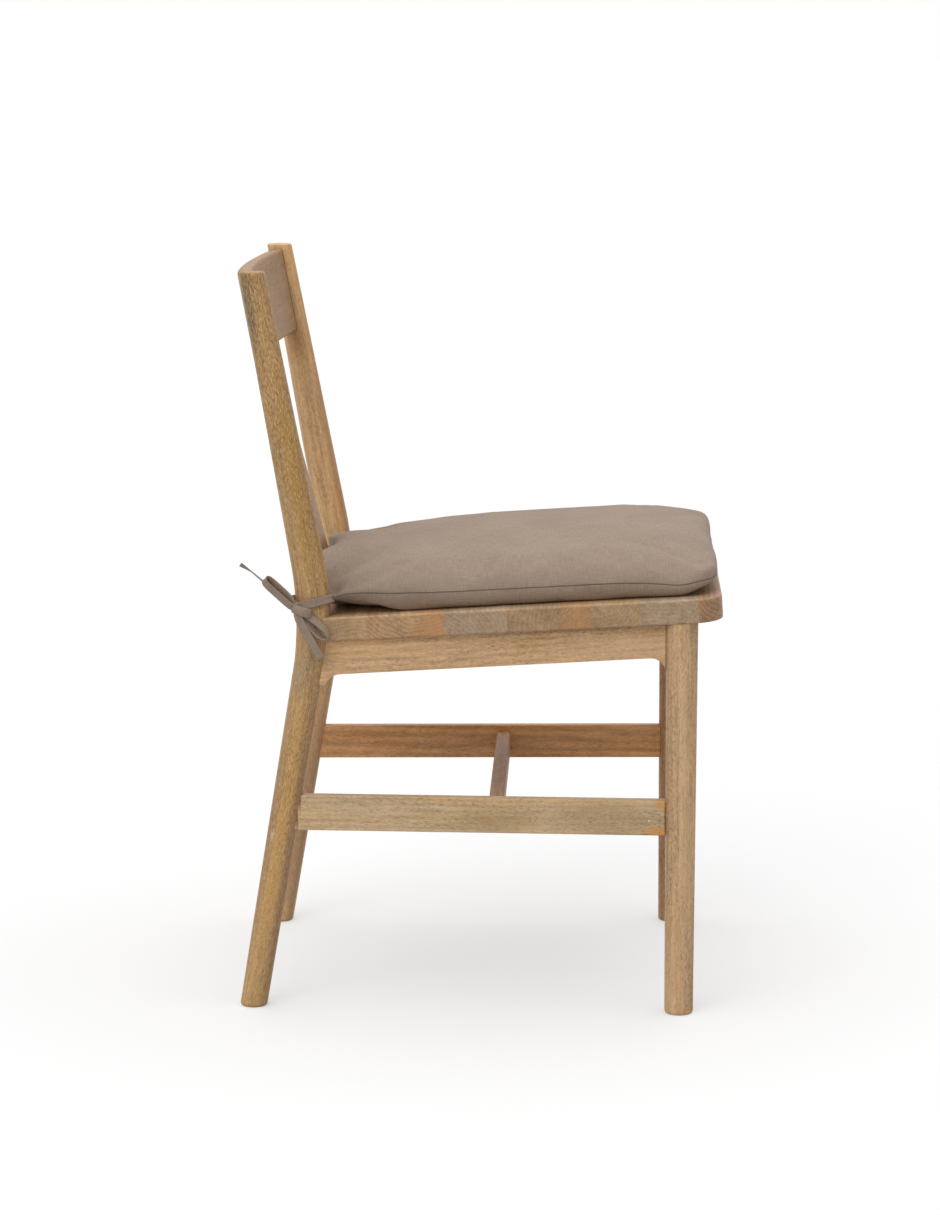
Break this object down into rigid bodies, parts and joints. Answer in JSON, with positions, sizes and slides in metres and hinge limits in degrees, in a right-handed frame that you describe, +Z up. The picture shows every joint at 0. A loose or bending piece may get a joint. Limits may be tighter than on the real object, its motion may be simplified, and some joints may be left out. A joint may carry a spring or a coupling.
{
  "type": "dining chair",
  "caption": "Wooden dining chair with bent oval rear posts, bowed crest rail, flat centre splat, raked plank seat and a fabric seat cushion tied to the posts.",
  "frame": {"origin": "on the floor, under the middle of the chair's bounding box", "axes": "+Z up; the chair's front faces -Y; +X is the sitter's left; the chair is the same on both sides of the plane x = 0"},
  "size_m": [0.4388, 0.5289, 0.8],
  "materials": {
    "post_wood": "satin lacquer over open pores",
    "leg_wood": "satin lacquer over open pores",
    "rail_wood": "satin lacquer over open pores",
    "stretcher_wood": "satin lacquer over open pores",
    "back_wood": "satin lacquer over open pores",
    "seat_wood": "satin lacquer, glued staves of mixed tone",
    "block_wood": "plain sawn",
    "screw_steel": "zinc plated",
    "cushion_fabric": "plain-weave taupe linen",
    "cushion_filling": "soft foam and fibre",
    "tie_fabric": "taupe tape of the cushion's own fabric"
  },
  "bodies": {
    "root": {"back_splat": "back_wood", "corner_block_front_left": "block_wood", "corner_block_front_right": "block_wood", "corner_block_rear_left": "block_wood", "corner_block_rear_right": "block_wood", "corner_block_screws": "screw_steel", "crest_rail": "back_wood", "cross_stretcher": "stretcher_wood", "cushion_bottom_panel": "cushion_fabric", "cushion_filling": "cushion_filling", "cushion_top_panel": "cushion_fabric", "front_apron": "rail_wood", "front_leg_left": "leg_wood", "front_leg_right": "leg_wood", "rear_apron": "rail_wood", "rear_post_left": "post_wood", "rear_post_right": "post_wood", "seat_screws": "screw_steel", "seat_stave_1": "seat_wood", "seat_stave_2": "seat_wood", "seat_stave_3": "seat_wood", "seat_stave_4": "seat_wood", "seat_stave_5": "seat_wood", "seat_stave_6": "seat_wood", "seat_stave_7": "seat_wood", "side_apron_left": "rail_wood", "side_apron_right": "rail_wood", "side_stretcher_left": "stretcher_wood", "side_stretcher_right": "stretcher_wood", "tie_band_left": "tie_fabric", "tie_band_right": "tie_fabric", "tie_knot_left": "tie_fabric", "tie_knot_right": "tie_fabric", "tie_loops_left": "tie_fabric", "tie_loops_right": "tie_fabric", "tie_tails_left": "tie_fabric", "tie_tails_right": "tie_fabric"}
  },
  "joints": []
}
